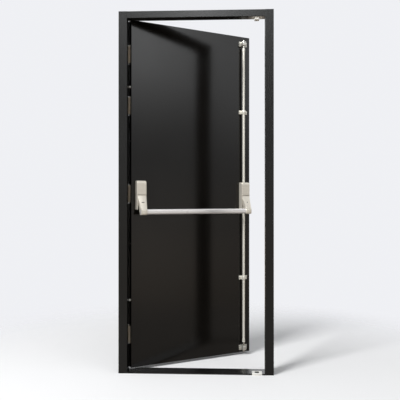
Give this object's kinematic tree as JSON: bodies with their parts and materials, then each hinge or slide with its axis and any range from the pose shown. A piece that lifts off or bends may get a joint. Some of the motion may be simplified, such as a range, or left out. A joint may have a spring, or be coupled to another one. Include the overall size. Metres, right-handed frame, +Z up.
{
  "type": "fire exit door with frame",
  "caption": "Black steel outward-opening single leaf in its frame, with a silver push-bar panic device, vertical rods, butt hinges and dog bolts.",
  "frame": {"origin": "bottom centre of the frame, at the middle of its depth, on the underside of the threshold", "axes": "+X to the right seen from inside, +Y outwards (the side the leaf opens to), +Z up"},
  "size_m": [0.895, 0.5135, 2.095],
  "materials": {
    "frame_paint": "semi-gloss black powder coat",
    "threshold_paint": "semi-gloss black powder coat",
    "leaf_paint": "satin black powder coat",
    "seal_rubber": "matt black rubber",
    "hinge_steel": "satin stainless steel",
    "screw_steel": "bright zinc plate",
    "plate_steel": "zinc-coated sheet",
    "core_board": "paper honeycomb",
    "dog_bolt_steel": "turned bright steel",
    "plug_plastic": "black plastic",
    "device_silver": "silver paint on a zinc casting",
    "bar_silver": "silver paint on steel tube",
    "rod_silver": "silver paint on steel tube",
    "bracket_silver": "silver paint on a zinc casting",
    "bolt_steel": "bright steel",
    "strike_steel": "bright zinc plate"
  },
  "bodies": {
    "frame": {"hinge_jamb": "frame_paint", "lock_jamb": "frame_paint", "frame_head": "frame_paint", "threshold": "threshold_paint", "frame_seal": "seal_rubber", "top_strike": "strike_steel", "bottom_strike": "strike_steel", "strike_screws": "screw_steel", "frame_hinge_plates": "plate_steel", "frame_hinge_screws": "screw_steel", "hinge_1_frame_flap": "hinge_steel", "hinge_2_frame_flap": "hinge_steel", "hinge_3_frame_flap": "hinge_steel", "hinge_4_frame_flap": "hinge_steel"},
    "leaf": {"leaf_inner_skin": "leaf_paint", "leaf_outer_skin": "leaf_paint", "leaf_core": "core_board", "hinge_stile": "plate_steel", "lock_stile": "plate_steel", "top_rail": "plate_steel", "bottom_rail": "plate_steel", "leaf_hinge_plates": "plate_steel", "leaf_hinge_screws": "screw_steel", "dog_bolts": "dog_bolt_steel", "edge_plugs": "plug_plastic", "inactive_backplate": "plate_steel", "active_backplate": "plate_steel", "inactive_cover": "device_silver", "active_cover": "device_silver", "inactive_pivot_pin": "bolt_steel", "active_pivot_pin": "bolt_steel", "backplate_screws": "screw_steel", "guide_screws": "screw_steel", "upper_rod_guide": "bracket_silver", "lower_rod_guide": "bracket_silver", "upper_bolt_bracket": "bracket_silver", "lower_bolt_bracket": "bracket_silver", "hinge_1_leaf_flap": "hinge_steel", "hinge_1_pin": "hinge_steel", "hinge_2_leaf_flap": "hinge_steel", "hinge_2_pin": "hinge_steel", "hinge_3_leaf_flap": "hinge_steel", "hinge_3_pin": "hinge_steel", "hinge_4_leaf_flap": "hinge_steel", "hinge_4_pin": "hinge_steel"},
    "push_bar": {"inactive_arm": "device_silver", "active_arm": "device_silver", "push_bar_tube": "bar_silver", "push_bar_caps": "bar_silver"},
    "upper_bolt": {"upper_rod_carrier": "bolt_steel", "upper_rod": "rod_silver", "upper_bolt": "bolt_steel"},
    "lower_bolt": {"lower_rod_carrier": "bolt_steel", "lower_rod": "rod_silver", "lower_bolt": "bolt_steel"}
  },
  "joints": [
    {"name": "leaf_swing", "type": "hinge", "parent": "frame", "child": "leaf", "pos_m": [-0.411, 0.0545, 0], "axis": [0, 0, 1], "range_deg": [-30, 150]},
    {"name": "push_bar_press", "type": "hinge", "parent": "leaf", "child": "push_bar", "pos_m": [-0.01583, 0.19605, 1.025], "axis": [0.866, 0.5, 0], "range_deg": [-20, 8]},
    {"name": "upper_bolt_slide", "type": "slide", "parent": "leaf", "child": "upper_bolt", "axis": [0, 0, 1], "range_m": [-0.0056, 0.01397]},
    {"name": "lower_bolt_slide", "type": "slide", "parent": "leaf", "child": "lower_bolt", "axis": [0, 0, 1], "range_m": [-0.01397, 0.0056]}
  ],
  "couplings": [
    {"joint": "upper_bolt_slide", "follows": "push_bar_press", "m_per_rad": -0.04},
    {"joint": "lower_bolt_slide", "follows": "push_bar_press", "m_per_rad": 0.04}
  ]
}
